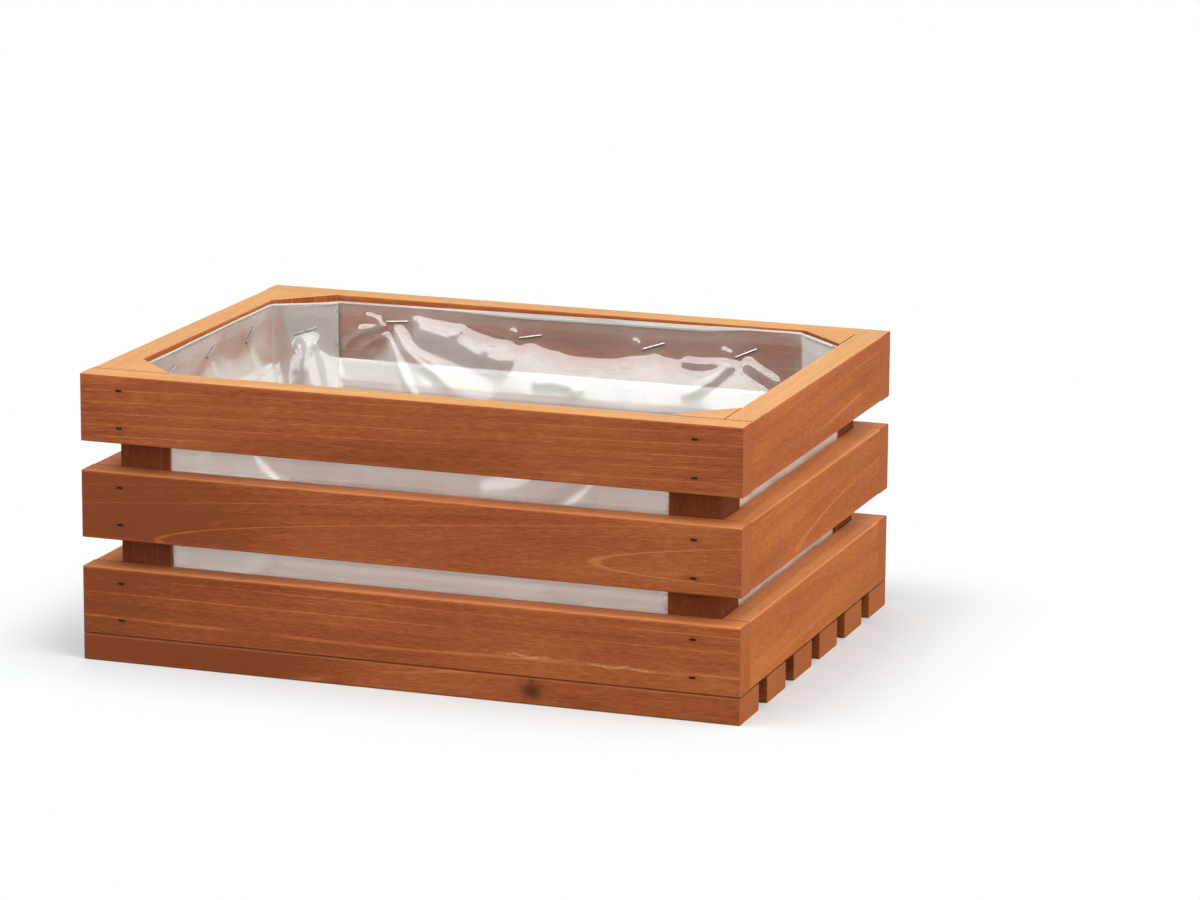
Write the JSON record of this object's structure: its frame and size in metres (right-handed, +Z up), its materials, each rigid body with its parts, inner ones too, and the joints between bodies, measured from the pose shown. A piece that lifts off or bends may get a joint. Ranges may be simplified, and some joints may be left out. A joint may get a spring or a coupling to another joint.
{
  "type": "slatted planter box",
  "caption": "Rectangular slatted wooden planter box with triangular corner posts, an open slatted base and a clear film liner stapled inside to hold the soil.",
  "frame": {"origin": "centre of the footprint, on the floor under the base slats", "axes": "+X along the crate's length, +Y from the front wall to the back wall, +Z up"},
  "size_m": [0.4, 0.288, 0.17],
  "materials": {
    "wall_timber": "red-brown stained softwood, planed",
    "post_timber": "red-brown stained softwood, sawn",
    "base_timber": "red-brown stained softwood, sawn ends",
    "clear_film": "clear, slightly milky plastic film",
    "staple_steel": "bright galvanised wire",
    "brad_steel": "dull steel"
  },
  "bodies": {
    "root": {"front_slat_bottom": "wall_timber", "front_slat_middle": "wall_timber", "front_slat_top": "wall_timber", "back_slat_bottom": "wall_timber", "back_slat_middle": "wall_timber", "back_slat_top": "wall_timber", "left_slat_bottom": "wall_timber", "left_slat_middle": "wall_timber", "left_slat_top": "wall_timber", "right_slat_bottom": "wall_timber", "right_slat_middle": "wall_timber", "right_slat_top": "wall_timber", "corner_post_front_left": "post_timber", "corner_post_front_right": "post_timber", "corner_post_back_left": "post_timber", "corner_post_back_right": "post_timber", "base_slat_1": "base_timber", "base_slat_2": "base_timber", "base_slat_3": "base_timber", "base_slat_4": "base_timber", "base_slat_5": "base_timber", "base_slat_6": "base_timber", "film_liner": "clear_film", "film_staples": "staple_steel", "front_brads": "brad_steel", "back_brads": "brad_steel", "left_brads": "brad_steel", "right_brads": "brad_steel", "base_brads": "brad_steel"}
  },
  "joints": []
}
